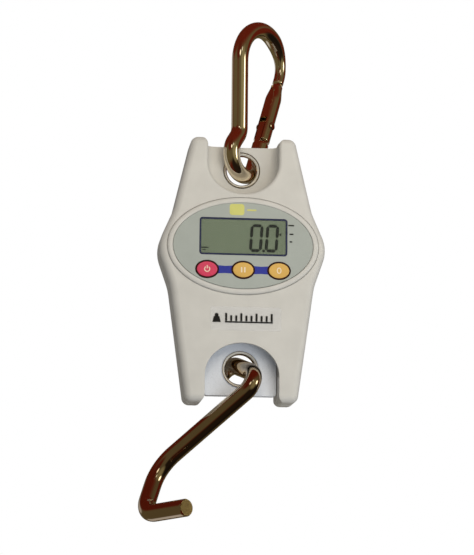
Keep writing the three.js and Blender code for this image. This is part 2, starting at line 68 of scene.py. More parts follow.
FACE_Y = node_box("front_shell")[0].y
BACK_Y = node_box("rear_shell")[1].y
SEAM_Y = -node_box("front_shell")[1].y
WALL = 2.4
EDGE_ROUND = 4.6
FLOOR_Y = 2.4
RECESS_HALF = 22.7
RECESS_BOWL = (3.1, 20.3)
RECESS_LIP_Z = 15.0
RECESS_FILLET = 4.2
ARCH_HALF = 23.4
ARCH_BOWL = (-133.7, 20.4)
SIDE_CORNERS = (
    (32.9, 19.2, 5.2),
    (44.2, -28.8, 25.0),
    (54.3, -51.9, 22.0),
    (45.7, -76.6, 30.0),
    (35.3, -150.5, 4.8),
)
BOSS_SPOTS = ((30, 3), (38.6, -82), (30.2, -139))
BOSSES = [(side * x, z) for x, z in BOSS_SPOTS for side in (-1, 1)]
BOSS_RADIUS = 3.8
EYELET_BARREL = 11.0
EYELET_FLANGE = 11.5
EYELET_BORE = 9.4
LOAD_PLATE_HALF = 3.2
BEZEL = (0.0, -51.6, 48.0, 31.1)
OVERLAY = (0.0, -51.4, 44.4, 27.6)
LCD = (0.1, -45.75, 56.0, 24.1)
BUTTON_Z = -67.1
BUTTON_X = 22.8
BUTTON_A = 7.05
BUTTON_B = 5.4
FILM_Y = FACE_Y - 0.95
LABEL = (2.0, -98.1, 44.8, 15.0)
BAY_Z = -38.8

ROD_RADIUS = 5.3
CARABINER_TURN = math.radians(48.5)
ARM_TILT = 23.3
HOOK_RADIUS = 5.5
HOOK_SWING = math.radians(35)
HOOK_TWIST = math.radians(32)


# ---------------------------------------------------------------- materials


class Nodes:
    """A material's node tree, with its Principled shader and short ways to add to it."""

    def __init__(self, name):
        self.material = bpy.data.materials.new(name)
        self.material.use_nodes = True
        self.tree = self.material.node_tree
        self.shader = self.tree.nodes["Principled BSDF"]
        self.place = self.tree.nodes.new("ShaderNodeTexCoord").outputs["Object"]

    def add(self, kind, **values):
        node = self.tree.nodes.new(kind)
        for key, value in values.items():
            if key in node.inputs:
                node.inputs[key].default_value = value
            else:
                setattr(node, key, value)
        return node

    def link(self, source, target):
        self.tree.links.new(source, target)

    def noise(self, scale, detail=3.0, stretch=None):
        """Noise from 0 to 1 with a number of grains per metre."""
        node = self.add("ShaderNodeTexNoise", Scale=scale, Detail=detail)
        place = self.place
        if stretch:
            mapping = self.add("ShaderNodeMapping")
            mapping.inputs["Scale"].default_value = stretch
            self.link(place, mapping.inputs["Vector"])
            place = mapping.outputs["Vector"]
        self.link(place, node.inputs["Vector"])
        return node.outputs["Fac"]

    def spread(self, source, low, high):
        """Maps the middle of a noise to low..high."""
        node = self.add("ShaderNodeMapRange")
        node.inputs["From Min"].default_value = 0.3
        node.inputs["From Max"].default_value = 0.7
        node.inputs["To Min"].default_value = low
        node.inputs["To Max"].default_value = high
        self.link(source, node.inputs["Value"])
        return node.outputs["Result"]

    def blend(self, source, first, second):
        node = self.add("ShaderNodeMix", data_type="RGBA")
        node.inputs[6].default_value = (*first, 1)
        node.inputs[7].default_value = (*second, 1)
        self.link(source, node.inputs[0])
        return node.outputs[2]

    def bump(self, source, depth_mm, strength=1.0):
        node = self.add("ShaderNodeBump", Strength=strength, Distance=depth_mm * MM)
        self.link(source, node.inputs["Height"])
        self.link(node.outputs["Normal"], self.shader.inputs["Normal"])


def shade(color, factor):
    return tuple(min(1.0, channel * factor) for channel in color)


def moulded(name, color, roughness, grain_mm=0.35, depth_mm=0.012, vary=0.04, coat=0.0):
    """Moulded or printed plastic: faint mottling, a fine grain and uneven gloss."""
    nodes = Nodes(name)
    mottle = nodes.noise(70, 4)
    nodes.link(
        nodes.blend(nodes.spread(mottle, 0, 1), shade(color, 1 - vary), shade(color, 1 + vary)),
        nodes.shader.inputs["Base Color"],
    )
    gloss = nodes.noise(260, 5)
    nodes.link(
        nodes.spread(gloss, roughness * 0.88, roughness * 1.14), nodes.shader.inputs["Roughness"]
    )
    nodes.bump(nodes.noise(1 / (grain_mm * MM), 2), depth_mm, 0.5)
    nodes.shader.inputs["Coat Weight"].default_value = coat
    nodes.shader.inputs["Coat Roughness"].default_value = 0.08
    return nodes.material


def polished(name, color, roughness=0.05, scratch=0.0, stretch=(1, 1, 1), metallic=1.0):
    """Polished or brushed metal: a slow ripple in the surface and fine drawn scratches."""
    nodes = Nodes(name)
    nodes.shader.inputs["Metallic"].default_value = metallic
    tone = nodes.noise(45, 3)
    nodes.link(
        nodes.blend(nodes.spread(tone, 0, 1), shade(color, 0.95), shade(color, 1.04)),
        nodes.shader.inputs["Base Color"],
    )
    grain = nodes.noise(900, 4, stretch)
    nodes.link(
        nodes.spread(grain, roughness * 0.7, roughness * 1.6 + scratch),
        nodes.shader.inputs["Roughness"],
    )
    if scratch:
        nodes.bump(grain, 0.004, 0.35)
    else:
        nodes.bump(nodes.noise(55, 2), 0.012, 0.35)
    return nodes.material


def clear(name, color, roughness=0.03, alpha=0.16):
    """A clear glossy film or window, with the faintest unevenness in its gloss."""
    nodes = Nodes(name)
    nodes.link(
        nodes.blend(nodes.spread(nodes.noise(120), 0, 1), shade(color, 0.97), color),
        nodes.shader.inputs["Base Color"],
    )
    nodes.link(
        nodes.spread(nodes.noise(300), roughness, roughness * 2), nodes.shader.inputs["Roughness"]
    )
    nodes.shader.inputs["Alpha"].default_value = alpha
    return nodes.material


BODY = (0.56, 0.55, 0.52)
body_plastic = moulded("body_plastic", BODY, 0.42)
overlay_film = moulded("overlay_film", (0.355, 0.385, 0.360), 0.33, 0.25, 0.006, 0.03)
lcd_face = moulded("lcd_face", (0.150, 0.190, 0.128), 0.22, 0.3, 0.002, 0.05)
navy_print = moulded("navy_print", (0.012, 0.016, 0.060), 0.3, 0.3, 0.003, 0.1)
segment_ink = moulded("segment_ink", (0.006, 0.009, 0.007), 0.4, 0.3, 0.001, 0.1)
red_print = moulded("red_print", (0.58, 0.045, 0.105), 0.3, 0.3, 0.004, 0.06, 0.3)
amber_print = moulded("amber_print", (0.63, 0.385, 0.095), 0.3, 0.3, 0.004, 0.06, 0.3)
maroon_print = moulded("maroon_print", (0.045, 0.010, 0.008), 0.35, 0.3, 0.004, 0.1)
pale_print = moulded("pale_print", (0.78, 0.66, 0.50), 0.4, 0.3, 0.002, 0.05)
blue_print = moulded("blue_print", (0.022, 0.032, 0.27), 0.35, 0.3, 0.003, 0.08)
yellow_print = moulded("yellow_print", (0.55, 0.545, 0.165), 0.4, 0.3, 0.003, 0.06)
black_ink = moulded("black_ink", (0.010, 0.010, 0.011), 0.35, 0.3, 0.002, 0.1)
black_plastic = moulded("black_plastic", (0.018, 0.018, 0.020), 0.5)
seal_rubber = moulded("seal_rubber", (0.035, 0.034, 0.032), 0.75, 0.5, 0.05, 0.1)
board_green = moulded("board_green", (0.012, 0.10, 0.045), 0.35, 0.4, 0.01, 0.08, 0.4)
cable_jacket = moulded("cable_jacket", (0.02, 0.02, 0.022), 0.45)
battery_jacket = moulded("battery_jacket", (0.05, 0.10, 0.22), 0.25, 0.4, 0.003, 0.1, 0.5)
label_film = clear("label_film", (0.90, 0.91, 0.95), 0.04, 0.10)
clear_window = clear("clear_window", (0.30, 0.33, 0.30), 0.03, 0.03)
# Polished steel: the warm tint of these two chromes is partly painted reflection of a warm room, over
# the steel's own colour. The second is a darker copy of the first, and on the eyelets' rims and throats
# it is painted shade.
chrome_warm_reflection = polished("chrome_warm_reflection", (0.90, 0.80, 0.62), 0.055)
chrome_dark = polished("chrome_dark", (0.64, 0.52, 0.38), 0.055)
# Pale, mostly non-metallic chrome: on the eyelets' lips its light colour is a painted highlight.
chrome_painted_highlight = polished("chrome_painted_highlight", (0.97, 0.95, 0.88), 0.10, metallic=0.22)
plate_steel = polished("plate_steel", (0.80, 0.845, 0.93), 0.25, 0.06, (1, 1, 12), 0.12)
satin_steel = polished("satin_steel", (0.60, 0.61, 0.63), 0.28, 0.1, (6, 6, 1))
cut_brass = polished("cut_brass", (0.52, 0.42, 0.20), 0.30, 0.12, (3, 3, 3))
machined_alloy = polished("machined_alloy", (0.70, 0.71, 0.73), 0.25, 0.1, (1, 8, 1))


# ---------------------------------------------------------------- mesh helpers


def make(name, vertices, faces, material, turn=None):
    """A mesh object from vertices in millimetres; `turn` is a matrix applied before placing."""
    mesh = bpy.data.meshes.new(name)
    moved = [Vector(v) if turn is None else turn @ Vector(v) for v in vertices]
    mesh.from_pydata([EYE + v * MM for v in moved], [], faces)
    mesh.validate()
    mesh.materials.append(material)
    obj = bpy.data.objects.new(name, mesh)
    bpy.context.collection.objects.link(obj)
    return obj


def loft(name, loops, material, turn=None):
    """A closed solid through equal loops of points, flat at both ends."""
    count = len(loops[0])
    vertices = [point for loop in loops for point in loop]
    faces = []
    for k in range(len(loops) - 1):
        for i in range(count):
            j = (i + 1) % count
            a, b = k * count, (k + 1) * count
            faces.append((a + i, a + j, b + j, b + i))
    faces.append(tuple(reversed(range(count))))
    faces.append(tuple(range((len(loops) - 1) * count, len(loops) * count)))
    return outward(make(name, vertices, faces, material, turn))


def outward(obj):
    """Turns a closed mesh's faces outward."""
    mesh = obj.data
    volume = 0.0
    for face in mesh.polygons:
        corners = [mesh.vertices[i].co - EYE for i in face.vertices]
        for b, c in zip(corners[1:-1], corners[2:]):
            volume += corners[0].dot(b.cross(c))
    if volume < 0:
        mesh.flip_normals()
    return obj


def ring_around(name, section, loop_of, material, count=128):
    """A closed ring: `loop_of(offset, i, count)` gives a point for a section offset (out, y)."""
    vertices = [loop_of(out, y, i / count) for i in range(count) for out, y in section]
    size = len(section)
    faces = []
    for i in range(count):
        for k in range(size):
            a, b = i * size, ((i + 1) % count) * size
            faces.append((a + k, a + (k + 1) % size, b + (k + 1) % size, b + k))
    return outward(make(name, vertices, faces, material))


def boolean(target, operation, *tools):
    """Applies exact booleans and deletes the tools."""
    for tool in tools:
        modifier = target.modifiers.new(operation, "BOOLEAN")
        modifier.operation = operation
        modifier.solver = "EXACT"
        modifier.object = tool
    depsgraph = bpy.context.evaluated_depsgraph_get()
    result = bpy.data.meshes.new_from_object(target.evaluated_get(depsgraph))
    target.modifiers.clear()
    old = target.data
    target.data = result
    bpy.data.meshes.remove(old)
    for tool in tools:
        mesh = tool.data
        bpy.data.objects.remove(tool)
        bpy.data.meshes.remove(mesh)
    return target


def cut(target, *tools):
    return boolean(target, "DIFFERENCE", *tools)


def weld(target, *tools):
    return boolean(target, "UNION", *tools)


def smooth(obj, angle=34):
    """Smooth shading with sharp edges kept, and flat faces kept flat."""
    obj.data.shade_smooth()
    obj.data.set_sharp_from_angle(angle=math.radians(angle))
    modifier = obj.modifiers.new("flats", "WEIGHTED_NORMAL")
    modifier.keep_sharp = True
    return obj


def stand_for(obj, body, *nodes, slot=None, angle=34):
    """Finishes a piece: shading, the body it rides on, the CAD nodes it replaces. Its slot is not used.
    """
    smooth(obj, angle)
    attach(obj, body)
    if nodes:
        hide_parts(*nodes)
    return obj


# ---------------------------------------------------------------- outlines in X and Z


def rounded(corners, step=5.0):
    """Points round a closed outline whose corners (x, z, radius) become arcs."""
    points = []
    for i, (x, z, radius) in enumerate(corners):
        here = Vector((x, z))
        before = (Vector(corners[i - 1][:2]) - here).normalized()
        after = (Vector(corners[(i + 1) % len(corners)][:2]) - here).normalized()
        if radius == 0:
            points.append((x, z))
            continue
        half = math.acos(max(-1, min(1, before.dot(after)))) / 2
        centre = here + (before + after).normalized() * (radius / math.sin(half))
        reach = radius / math.tan(half)
        start, end = here + before * reach - centre, here + after * reach - centre
        first = math.atan2(start.y, start.x)
        turn = (math.atan2(end.y, end.x) - first + math.pi) % (2 * math.pi) - math.pi
        count = max(2, round(abs(math.degrees(turn)) / step))
        for k in range(count + 1):
            angle = first + turn * k / count
            points.append((centre.x + radius * math.cos(angle), centre.y + radius * math.sin(angle)))
    return points


def mirrored(corners):
    """A right half, top to bottom, closed by its mirror image."""
    return list(corners) + [(-x, z, radius) for x, z, radius in reversed(corners)]


def ellipse(x, z, a, b, count=96):
    turns = [2 * math.pi * i / count for i in range(count)]
    return [(x + a * math.sin(t), z + b * math.cos(t)) for t in turns]


def circle(radius, sides):
    turns = [2 * math.pi * i / sides for i in range(sides)]
    return [(radius * math.cos(t), radius * math.sin(t)) for t in turns]


def rectangle(x, z, width, height, radius=0.0):
    w, h = width / 2, height / 2
    corners = ((x + w, z + h), (x + w, z - h), (x - w, z - h), (x - w, z + h))
    return rounded([(cx, cz, radius) for cx, cz in corners], 10)


def bowl_outline(half, bowl, open_z, lip_z, lip_round):
    """A slot with an elliptical end whose mouth flares round the lip: open up or down."""
    bowl_z, depth = bowl
    way = 1 if open_z > bowl_z else -1
    arc = [math.pi * i / 40 for i in range(41)]
    bottom = [(-half * math.cos(t), bowl_z - way * depth * math.sin(t)) for t in arc]
    flare = [math.pi / 2 * i / 8 for i in range(9)]
    right = [
        (half + lip_round * (1 - math.cos(t)), lip_z - way * lip_round * (1 - math.sin(t)))
        for t in flare
    ]
    left = [(-x, z) for x, z in reversed(right)]
    mouth = [(70, lip_z), (70, open_z), (-70, open_z), (-70, lip_z)]
    return bottom + right + mouth + left


def offset(points, distance):
    """Moves a clockwise or anticlockwise outline outward by a distance."""
    area = sum(
        a[0] * b[1] - b[0] * a[1] for a, b in zip(points, points[1:] + points[:1])
    )
    side = 1 if area > 0 else -1
    moved = []
    for i, (x, z) in enumerate(points):
        before = Vector((x - points[i - 1][0], z - points[i - 1][1])).normalized()
        following = points[(i + 1) % len(points)]
        after = Vector((following[0] - x, following[1] - z)).normalized()
        out = Vector((before.y + after.y, -before.x - after.x)).normalized() * side
        half_turn = math.sqrt(max(0.25, (1 + before.dot(after)) / 2))
        moved.append((x + out.x * distance / half_turn, z + out.y * distance / half_turn))
    return moved


def slab(name, outline, profile, material, turn=None):
    """A solid from an outline and a profile of (y, outward offset) pairs along Y."""
    loops = [[(x, y, z) for x, z in offset(outline, out)] for y, out in profile]
    return loft(name, loops, material, turn)


def post(name, x, z, radius, low, high, material, sides):
    """A round post along Y."""
    return slab(name, ellipse(x, z, radius, radius, sides), [(low, 0), (high, 0)], material)


def turned(name, section, x, z, material, count=96):
    """A ring about the Y axis through (x, z), from a closed section of (radius, y)."""

    def at(radius, y, share):
        angle = 2 * math.pi * share
        return (x + radius * math.cos(angle), y, z + radius * math.sin(angle))

    return ring_around(name, section, at, material, count)


def quarter(count=8):
    """Angles from 0 to a quarter turn, in equal steps."""
    return [math.pi / 2 * i / count for i in range(count + 1)]


def button_oval(side, gap, count=72):
    """A button's outline, a gap wider all round: side -1 is the left one, 0 the middle, 1 the right."""
    return ellipse(side * BUTTON_X, BUTTON_Z, BUTTON_A + gap, BUTTON_B + gap, count)


def button_holes(gap, deepest, material, count=64):
    """Cutters for the three buttons' holes, from in front of the face to a depth."""
    return [
        slab("hole", button_oval(side, gap, count), [(-20, 0), (deepest, 0)], material)
        for side in (-1, 0, 1)
    ]


# ---------------------------------------------------------------- housing shells


def arch_gap():
    """The front skin ends at the arch with nothing behind it but the load plate."""
    z, depth = ARCH_BOWL
    half, reach = ARCH_HALF + WALL + 0.2, depth + WALL + 0.2
    turns = [math.pi * i / 40 for i in range(41)]
    outline = [(half * math.cos(t), z + reach * math.sin(t)) for t in turns]
    return slab("arch_gap", outline, [(FACE_Y + WALL, 0), (-3.5, 0)], body_plastic)


def oval_ring(name, oval, section, count=160):
    """A ring round an ellipse, from a section of (outward offset, y)."""
    x, z, a, b = oval

    def at(out, y, share):
        angle = 2 * math.pi * share
        return (x + (a + out) * math.cos(angle), y, z + (b + out) * math.sin(angle))

    return ring_around(name, section, at, body_plastic, count)


def shell(name, way):
    """Half of the housing: way -1 is the front, +1 the rear."""
    face = abs(FACE_Y if way < 0 else BACK_Y)
    outline = rounded(mirrored(SIDE_CORNERS))
    rounding = [
        (way * (face - EDGE_ROUND * (1 - math.sin(t))), -EDGE_ROUND * (1 - math.cos(t)))
        for t in quarter(10)
    ]
    edge = [(way * SEAM_Y, -0.35), (way * (SEAM_Y + 0.35), 0)]
    body = slab(name, outline, edge + rounding, body_plastic)

    recess = bowl_outline(RECESS_HALF, RECESS_BOWL, 40, SIDE_CORNERS[0][1] + 0.02, 5.0)
    arch = bowl_outline(ARCH_HALF, ARCH_BOWL, -170, SIDE_CORNERS[-1][1] - 0.02, 4.4)
    inner = slab(
        "cavity", offset(outline, -WALL), [(-way * 2, 0), (way * (face - WALL), 0)], body_plastic
    )
    block = [(-way * 30, 0), (way * 30, 0)]
    plain_recess = bowl_outline(RECESS_HALF + WALL, (RECESS_BOWL[0], RECESS_BOWL[1] + WALL), 40, 38, 1)
    plain_arch = bowl_outline(ARCH_HALF + WALL, (ARCH_BOWL[0], ARCH_BOWL[1] + WALL), -180, -175, 1)
    cut(
        inner,
        slab("keep_recess", plain_recess, block, body_plastic),
        slab("keep_arch", plain_arch, block, body_plastic),
    )
    cut(body, inner)

    flare = 2.3
    recess_profile = [(way * (face + 6), flare)]
    recess_profile += [
        (way * (face - flare * (1 - math.cos(t))), flare * (1 - math.sin(t))) for t in quarter()
    ]
    recess_profile += [
        (way * (FLOOR_Y + RECESS_FILLET * (1 - math.sin(t))), -RECESS_FILLET * (1 - math.cos(t)))
        for t in quarter()
    ]
    lip = 0.35
    arch_profile = [(way * (face + 6), lip)]
    arch_profile += [
        (way * (face - lip * (1 - math.cos(t))), lip * (1 - math.sin(t))) for t in quarter(5)
    ]
    arch_profile += [(-way * 8, 0)]
    through = bowl_outline(RECESS_HALF, (RECESS_LIP_Z + 0.4, 0.4), 40, SIDE_CORNERS[0][1] + 0.02, 3.6)
    cut(
        body,
        slab("recess", recess, recess_profile, body_plastic),
        slab("through", through, [(-way * 8, 0), (way * 30, 0)], body_plastic),
        slab("arch", arch, arch_profile, body_plastic),
        slab(
            "plate_pocket",
            rectangle(0, -13, 42.8, 54.2),
            [(-way * 3, 0), (way * 1.8, 0)],
            body_plastic,
        ),
        slab(
            "lower_pocket",
            rectangle(0, -130, 2 * ARCH_HALF, 60),
            [(-way * 3, 0), (way * 3.5, 0)],
            body_plastic,
        ),
        post("eye", 0, 0, 11.95, -9, 9, body_plastic, 96),
    )
    if way < 0:
        posts = [
            post("post", x, z, BOSS_RADIUS, FACE_Y + 1, -SEAM_Y, body_plastic, 24)
            for x, z in BOSSES
        ]
        bores = [post("bore", x, z, 1.6, -10, 1, body_plastic, 16) for x, z in BOSSES]
        holes = button_holes(0.5, -11, body_plastic, 48)
        window = slab("window", rectangle(*LCD, 2), [(-20, 0), (-11, 0)], body_plastic)
        groove = [(0.0, FACE_Y - 2), (0.5, FACE_Y - 2), (0.35, FACE_Y + 0.7), (0.0, FACE_Y + 0.7)]
        weld(body, *posts)
        cut(body, window, arch_gap(), oval_ring("groove", BEZEL, groove), *holes, *bores)
    else:
        posts = [
            post("post", x, z, BOSS_RADIUS, SEAM_Y, BACK_Y - WALL + 0.5, body_plastic, 24)
            for x, z in BOSSES
        ]
        bores = [post("bore", x, z, 1.7, -1, 20, body_plastic, 16) for x, z in BOSSES]
        sinks = [post("sink", x, z, 3.4, BACK_Y - WALL, 20, body_plastic, 32) for x, z in BOSSES]
        bay = slab("bay", rectangle(0, BAY_Z, 56.6, 38.6, 2.3), [(10, 0), (20, 0)], body_plastic)
        weld(body, *posts)
        cut(body, bay, *bores, *sinks)
    return body


stand_for(shell("front_casing", -1), "housing", "front_shell", slot="body_plastic")
stand_for(shell("rear_casing", 1), "housing", "rear_shell", slot="body_plastic")


# ---------------------------------------------------------------- display


def bezel_ring():
    """The raised oval rim: a soft outer slope, a crest and a small step down to the film."""
    crest = FACE_Y - 1.35
    slope = [(-2.2 * (1 - math.cos(t)), FACE_Y - 0.1 - 1.25 * math.sin(t)) for t in quarter(7)]
    step = [(-2.9, crest + 0.02), (-3.25, crest + 0.25), (-3.3, FACE_Y - 0.2), (-3.3, FACE_Y - 0.1)]
    return oval_ring("oval_bezel", BEZEL, slope + step)


def overlay_panel():
    edge = [(FACE_Y - 0.15, 0), (FILM_Y + 0.2, 0), (FILM_Y + 0.06, -0.06), (FILM_Y, -0.2)]
    film = slab("overlay_panel", ellipse(*OVERLAY, 160), edge, overlay_film)
    window = slab("window", rectangle(*LCD, 2), [(-20, 0), (-10, 0)], overlay_film)
    return cut(film, window, *button_holes(0.3, -10, overlay_film))


def printed(name, outlines, y, material, thickness=0.05):
    """Thin printed shapes that lie on a plane facing -Y."""
    vertices, faces = [], []
    for outline in outlines:
        count, first = len(outline), len(vertices)
        vertices += [(x, y, z) for x, z in outline]
        vertices += [(x, y - thickness, z) for x, z in outline]
        faces.append(tuple(range(first, first + count)))
        faces.append(tuple(reversed(range(first + count, first + 2 * count))))
        for i in range(count):
            j = (i + 1) % count
            faces.append((first + i, first + count + i, first + count + j, first + j))
    return outward(make(name, vertices, faces, material))


def ring_print(name, outer, inner, y, material, thickness=0.05):
    """A printed ring between two equal outlines."""
    count = len(outer)
    loops = [[(px, y, pz) for px, pz in inner], [(px, y - thickness, pz) for px, pz in inner],
             [(px, y - thickness, pz) for px, pz in outer], [(px, y, pz) for px, pz in outer]]
    vertices = [point for loop in loops for point in loop]
    faces = []
    for k in range(4):
        for i in range(count):
            j = (i + 1) % count
            a, b = k * count, ((k + 1) % 4) * count
            faces.append((a + i, a + j, b + j, b + i))
    return outward(make(name, vertices, faces, material))


DIGIT_WIDTH = 8.3
DIGIT_HEIGHT = 18.0
DIGIT_STROKE = 2.0
DIGIT_SLANT = math.tan(math.radians(4))


def digit_segments(left, bottom):
    """The six outer segments of a zero, as slanted bars with mitred ends."""
    half, gap = DIGIT_STROKE / 2, 0.16
    width, height = DIGIT_WIDTH - DIGIT_STROKE, DIGIT_HEIGHT - DIGIT_STROKE
    near, far = half, half + width
    low, middle, high = half, half + height / 2, half + height
    strokes = (
        ((near, low), (far, low)),
        ((near, low), (near, middle)),
        ((near, middle), (near, high)),
        ((near, high), (far, high)),
        ((far, low), (far, middle)),
        ((far, middle), (far, high)),
    )
    bars = []
    for start, end in strokes:
        a, b = Vector(start), Vector(end)
        along = (b - a).normalized()
        side = Vector((-along.y, along.x)) * half
        a, b = a + along * gap, b - along * gap
        shape = [a, a + along * half + side, b - along * half + side, b,
                 b - along * half - side, a + along * half - side]
        bars.append([(left + p.x + (p.y - height / 2) * DIGIT_SLANT, bottom + p.y) for p in shape])
    return bars


def display():
    stand_for(bezel_ring(), "housing", "display_bezel", slot="body_plastic")
    stand_for(overlay_panel(), "housing", "front_overlay", slot="overlay_film")
    x, z, width, height = LCD
    frame_y = FACE_Y - 0.62
    outer = rectangle(x, z, width - 0.1, height - 0.1, 2)
    border = 1.15
    inner = offset(outer, -border)
    rim = ring_print("lcd_frame", outer, inner, frame_y, navy_print, 0.2)
    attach(rim, "housing")
    panel_back = node_box("lcd_panel")[1].y
    panel = slab(
        "lcd_glass", rectangle(x, z, width - 1.4, height - 1.4, 1),
        [(panel_back, 0), (frame_y + 0.3, 0), (frame_y + 0.1, -0.2)], lcd_face,
    )
    stand_for(panel, "housing", "lcd_panel", slot="lcd")
    digits = digit_segments(4.0, -55.4) + digit_segments(14.0, -55.4)
    decimal_point = rectangle(12.95, -54.5, 1.6, 1.8, 0.5)
    pointer = [(22.4, -43.8), (24.2, -42.7), (24.2, -44.9)]
    dashes = [rectangle(-24.3, -53.2, 4.6, 0.8, 0.3), rectangle(-24.9, -54.6, 2.2, 0.5, 0.2)]
    shapes = [*digits, decimal_point, pointer, *dashes]
    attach(printed("lcd_digits", shapes, frame_y + 0.09, segment_ink), "housing")
    pane = slab(
        "lcd_pane", rectangle(x, z, width - 0.6, height - 0.6, 1.8),
        [(FACE_Y - 0.86, 0), (FACE_Y - 0.98, 0), (FACE_Y - 1.05, -0.08)], clear_window,
    )
    stand_for(pane, "housing", "lcd_window", slot="clear_window")


def band_outline():
    """The band behind the buttons: narrower half way between them."""
    top = []
    for i in range(49):
        px = -BUTTON_X + 2 * BUTTON_X * i / 48
        waist = abs(math.cos(math.pi * px / BUTTON_X))
        top.append((px, BUTTON_Z + 2.3 + 0.5 * waist))
    return top + [(px, 2 * BUTTON_Z - pz) for px, pz in reversed(top)]


def power_icon(x, z):
    arc = [math.radians(35 + 290 * i / 24) for i in range(25)]
    outer = [(x + 1.9 * math.sin(t), z + 1.9 * math.cos(t)) for t in arc]
    inner = [(x + 1.35 * math.sin(t), z + 1.35 * math.cos(t)) for t in reversed(arc)]
    return [outer + inner, rectangle(x, z + 1.3, 0.55, 2.2, 0.2)]


def hold_icon(x, z):
    return [rectangle(x - 1, z, 0.9, 3.4, 0.3), rectangle(x + 1, z, 0.9, 3.4, 0.3)]


def zero_icon(x, z):
    steps = [2 * math.pi * i / 32 for i in range(32)]
    outer = [(x + 1.5 * math.sin(t), z + 2 * math.cos(t)) for t in steps]
    inner = [(x + 0.9 * math.sin(t), z + 1.4 * math.cos(t)) for t in steps]
    return [half_ring(outer, inner, 0, 17), half_ring(outer, inner, 16, 33)]


def half_ring(outer, inner, first, last):
    picked = [i % len(outer) for i in range(first, last)]
    return [outer[i] for i in picked] + [inner[i] for i in reversed(picked)]


def buttons():
    icons = {"power": power_icon, "hold": hold_icon, "zero": zero_icon}
    for side, (name, icon) in zip((-1, 0, 1), icons.items()):
        x = side * BUTTON_X
        body = f"{name}_button"
        top = FACE_Y - 1.3
        crown = [(top + 0.55 * (1 - math.sin(t)), -1.6 * (1 - math.cos(t))) for t in quarter(6)]
        base = [(-12.0, 0), (top + 0.75, 0)]
        cap = slab(f"{name}_cap", button_oval(side, 0), base + crown, maroon_print)
        flange_depths = [(-12.3, 0), (-11.5, 0)]
        flange = slab("flange", button_oval(side, 1.2, 48), flange_depths, maroon_print)
        stem = post("stem", x, BUTTON_Z, 2, -11.7, -11.1, maroon_print, 24)
        weld(cap, flange, stem)
        stand_for(cap, body, body, slot="red_plastic" if name == "power" else "yellow_plastic")
        ink = red_print if name == "power" else amber_print
        disc = slab(
            f"{name}_disc", button_oval(side, -0.75),
            [(top + 0.3, 0.2), (top + 0.05, 0.1), (top - 0.06, -0.25), (top - 0.13, -0.9),
             (top - 0.17, -2.2)], ink,
        )
        stand_for(disc, body, angle=60)
        mark = printed(f"{name}_icon", icon(x, BUTTON_Z), top - 0.16, pale_print, 0.06)
        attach(mark, body)


def prints():
    ink_y = FILM_Y + 0.01
    band = printed("button_band", [band_outline()], ink_y, blue_print)
    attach(cut(band, *button_holes(0.3, -10, blue_print)), "housing")
    for side in (-1, 0, 1):
        ring = ring_print(
            f"button_rim_{side + 2}", button_oval(side, 0.5), button_oval(side, 0.3),
            ink_y, maroon_print, 0.09,
        )
        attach(ring, "housing")
    badge = [rectangle(-4.2, -28.4, 9.4, 7.2, 1.8), rectangle(5.2, -28.6, 6.0, 1.0, 0.45)]
    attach(printed("plain_badge", badge, ink_y, yellow_print), "housing")
    dashes = ((30.4, -37.8, 3.8), (30.6, -43.4, 2.6), (30.3, -48.3, 1.8))
    marks = [rectangle(x, z, width, 0.9, 0.4) for x, z, width in dashes]
    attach(printed("unit_marks", marks, ink_y, black_ink), "housing")


def sticker():
    x, z, width, height = LABEL
    top = FACE_Y - 0.35
    film = slab(
        "capacity_sticker", rectangle(x, z, width, height, 0.9),
        [(FACE_Y - 0.02, 0), (top + 0.06, 0), (top, -0.08)], label_film,
    )
    stand_for(film, "housing", "capacity_label", slot="label_film")
    left, middle = -16.4, z + 0.2
    weight = [(left - 2.6, middle - 2.6), (left + 2.6, middle - 2.6), (left + 1.7, middle + 1.1),
              (left - 1.7, middle + 1.1)]
    knob = ellipse(left, middle + 1.9, 1.2, 1.2, 24)
    ticks = []
    for i in range(10):
        rise, height = (0.7, 5.0) if i % 3 == 0 else (0, 3.6)
        ticks.append(rectangle(left + 6 + 3.2 * i, middle + rise, 1.3, height, 0.3))
    rule = rectangle(left + 20.4, middle - 2.4, 30.4, 0.9, 0.3)
    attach(printed("capacity_marks", [weight, knob, rule, *ticks], top + 0.01, black_ink), "housing")


display()
buttons()
prints()
sticker()


# ---------------------------------------------------------------- plates and eyelets


def eyelet(name, node, z, half):
    """A flared bush: a rolled lip on both faces, with a painted highlight on the lip and painted shade
    on the rim and throat.
    """
    crest, highlight_from = EYELET_BARREL + 0.1, 9.95
    lip, rim = half + 0.06, half + 0.4
    shoulder = lip + 0.1
    roll = [
        (EYELET_FLANGE - 0.25 * (1 - math.cos(t)), shoulder + (rim - shoulder) * math.sin(t))
        for t in quarter(6)
    ]
    throat = [(10.8 - 0.4 * i, half + 0.1 - 0.6 * i) for i in range(4)]
    edge = [(EYELET_BARREL, lip), (EYELET_FLANGE, lip)]
    top = [*edge, *roll, (crest, rim), *throat, (EYELET_BORE, half - 2.1)]
    section = top + [(radius, -y) for radius, y in reversed(top)]
    ring = turned(name, section, 0, z, chrome_painted_highlight)
    # Faces off the lip get the darker chrome as painted shade on the rim and throat; the lip keeps the
    # pale chrome as a painted highlight.
    ring.data.materials.append(chrome_dark)
    for face in ring.data.polygons:
        middle = (face.center - EYE) / MM
        radius = math.hypot(middle.x, middle.z - z)
        if not highlight_from < radius < crest:
            face.material_index = 1
    stand_for(ring, "housing", node, slot="bright_steel", angle=50)


